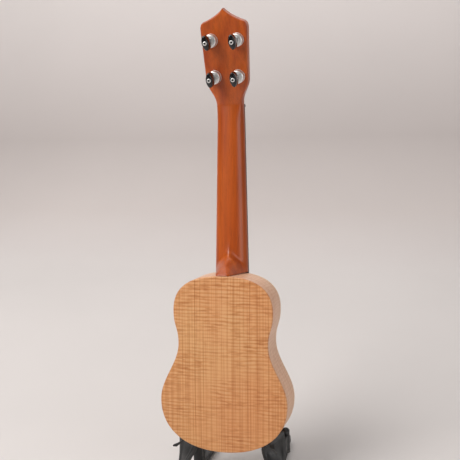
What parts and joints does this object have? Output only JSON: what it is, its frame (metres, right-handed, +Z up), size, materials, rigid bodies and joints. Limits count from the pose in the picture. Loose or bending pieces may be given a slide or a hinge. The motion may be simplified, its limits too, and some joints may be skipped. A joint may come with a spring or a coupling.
{
  "type": "guitar on stand",
  "caption": "Small long-neck guitar of the soprano size seen from its figured back, leaning on a folding black plastic stand with padded saddles.",
  "frame": {"origin": "on the floor, under the middle of the overall box of instrument and stand", "axes": "+Z up; +Y from the back of the instrument, which faces the viewer, through to the stand; +X to the right as seen from behind the instrument"},
  "size_m": [0.1774, 0.1702, 0.6631],
  "materials": {
    "maple": "satin",
    "spruce": "satin",
    "mahogany": "satin",
    "dark_wood": "satin",
    "inner_wood": "bare",
    "bone": "smooth",
    "fret_wire": "polished",
    "nylon": "translucent nylon",
    "satin_metal": "satin",
    "black_gloss": "gloss",
    "stand_plastic": "fine-grained satin",
    "black_rubber": "matt"
  },
  "bodies": {
    "back_frame": {"back_frame": "stand_plastic", "hinge_pin_right": "satin_metal", "hinge_pin_left": "satin_metal", "rear_foot_right": "black_rubber", "rear_foot_left": "black_rubber", "rest_pad_right": "black_rubber", "rest_pad_left": "black_rubber"},
    "wing_right": {"wing_right": "stand_plastic", "saddle_pad_right": "black_rubber", "front_foot_right": "black_rubber"},
    "wing_left": {"wing_left": "stand_plastic", "saddle_pad_left": "black_rubber", "front_foot_left": "black_rubber"},
    "ukulele": {"soundboard": "spruce", "back_plate": "maple", "rib_right": "maple", "rib_left": "maple", "neck_block": "inner_wood", "tail_block": "inner_wood", "top_brace_upper": "inner_wood", "top_brace_lower": "inner_wood", "back_brace_upper": "inner_wood", "back_brace_lower": "inner_wood", "rosette": "dark_wood", "bridge": "dark_wood", "bridge_saddle": "bone", "neck": "mahogany", "headstock_veneer": "mahogany", "fretboard": "dark_wood", "nut": "bone", "fret_01": "fret_wire", "fret_02": "fret_wire", "fret_03": "fret_wire", "fret_04": "fret_wire", "fret_05": "fret_wire", "fret_06": "fret_wire", "fret_07": "fret_wire", "fret_08": "fret_wire", "fret_09": "fret_wire", "fret_10": "fret_wire", "fret_11": "fret_wire", "fret_12": "fret_wire", "fret_13": "fret_wire", "fret_14": "fret_wire", "string_1": "nylon", "string_2": "nylon", "string_3": "nylon", "string_4": "nylon", "tuner_housing_a": "satin_metal", "tuner_housing_b": "satin_metal", "tuner_housing_c": "satin_metal", "tuner_housing_d": "satin_metal"},
    "tuner_button_a": {"tuner_button_a": "black_gloss"},
    "tuner_post_a": {"tuner_post_a": "satin_metal"},
    "tuner_button_b": {"tuner_button_b": "black_gloss"},
    "tuner_post_b": {"tuner_post_b": "satin_metal"},
    "tuner_button_c": {"tuner_button_c": "black_gloss"},
    "tuner_post_c": {"tuner_post_c": "satin_metal"},
    "tuner_button_d": {"tuner_button_d": "black_gloss"},
    "tuner_post_d": {"tuner_post_d": "satin_metal"}
  },
  "joints": [
    {"name": "ukulele_lift", "type": "slide", "parent": "back_frame", "child": "ukulele", "axis": [0, 0.1736, 0.9848], "range_m": [0, 0.28]},
    {"name": "wing_right_fold", "type": "hinge", "parent": "back_frame", "child": "wing_right", "pos_m": [0.075, -0.02292, 0.06], "axis": [0, 0, -1], "range_deg": [0, 43]},
    {"name": "wing_left_fold", "type": "hinge", "parent": "back_frame", "child": "wing_left", "pos_m": [-0.075, -0.02292, 0.06], "axis": [0, 0, 1], "range_deg": [0, 43]},
    {"name": "button_a_turn", "type": "hinge", "parent": "ukulele", "child": "tuner_button_a", "pos_m": [-0.0163, 0.0345, 0.56796], "axis": [0, -0.9968, -0.0802], "continuous": true},
    {"name": "post_a_turn", "type": "hinge", "parent": "ukulele", "child": "tuner_post_a", "pos_m": [-0.0163, 0.0345, 0.56796], "axis": [0, -0.9968, -0.0802], "continuous": true},
    {"name": "button_b_turn", "type": "hinge", "parent": "ukulele", "child": "tuner_button_b", "pos_m": [-0.0179, 0.03061, 0.6163], "axis": [0, -0.9968, -0.0802], "continuous": true},
    {"name": "post_b_turn", "type": "hinge", "parent": "ukulele", "child": "tuner_post_b", "pos_m": [-0.0179, 0.03061, 0.6163], "axis": [0, -0.9968, -0.0802], "continuous": true},
    {"name": "button_c_turn", "type": "hinge", "parent": "ukulele", "child": "tuner_button_c", "pos_m": [0.0179, 0.03061, 0.6163], "axis": [0, -0.9968, -0.0802], "continuous": true},
    {"name": "post_c_turn", "type": "hinge", "parent": "ukulele", "child": "tuner_post_c", "pos_m": [0.0179, 0.03061, 0.6163], "axis": [0, -0.9968, -0.0802], "continuous": true},
    {"name": "button_d_turn", "type": "hinge", "parent": "ukulele", "child": "tuner_button_d", "pos_m": [0.0163, 0.0345, 0.56796], "axis": [0, -0.9968, -0.0802], "continuous": true},
    {"name": "post_d_turn", "type": "hinge", "parent": "ukulele", "child": "tuner_post_d", "pos_m": [0.0163, 0.0345, 0.56796], "axis": [0, -0.9968, -0.0802], "continuous": true}
  ],
  "couplings": [
    {"joint": "wing_right_fold", "follows": "ukulele_lift", "rad_per_m": 2.6},
    {"joint": "wing_left_fold", "follows": "ukulele_lift", "rad_per_m": 2.6},
    {"joint": "post_a_turn", "follows": "button_a_turn", "ratio": 0.25},
    {"joint": "post_b_turn", "follows": "button_b_turn", "ratio": 0.25},
    {"joint": "post_c_turn", "follows": "button_c_turn", "ratio": 0.25},
    {"joint": "post_d_turn", "follows": "button_d_turn", "ratio": 0.25}
  ]
}
